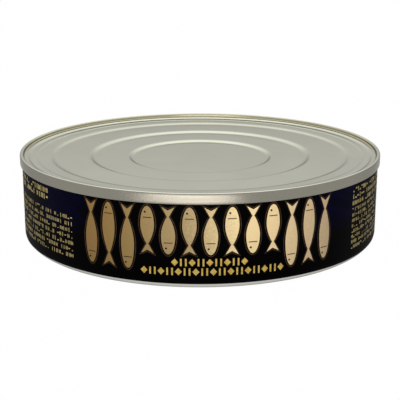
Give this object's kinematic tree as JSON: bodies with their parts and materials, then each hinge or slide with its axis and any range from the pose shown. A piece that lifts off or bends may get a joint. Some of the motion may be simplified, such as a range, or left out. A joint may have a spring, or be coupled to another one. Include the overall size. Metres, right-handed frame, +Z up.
{
  "type": "tin of sprats",
  "caption": "Shut round flat fish tin: drawn can, double-seamed lid with stepped rings, and a printed wrap-around label.",
  "frame": {"origin": "middle of the foot, on the surface that the tin stands on", "axes": "+Z up along the tin's axis; -Y is the front of the label"},
  "size_m": [0.102, 0.102, 0.0248],
  "materials": {
    "tinplate": "bright tinplate, lightly lacquered",
    "lid_tinplate": "satin tinplate under a thin warm lacquer",
    "label": "glossy black print with gold shapes"
  },
  "bodies": {
    "root": {"can": "tinplate", "lid": "lid_tinplate", "label": "label"}
  },
  "joints": []
}
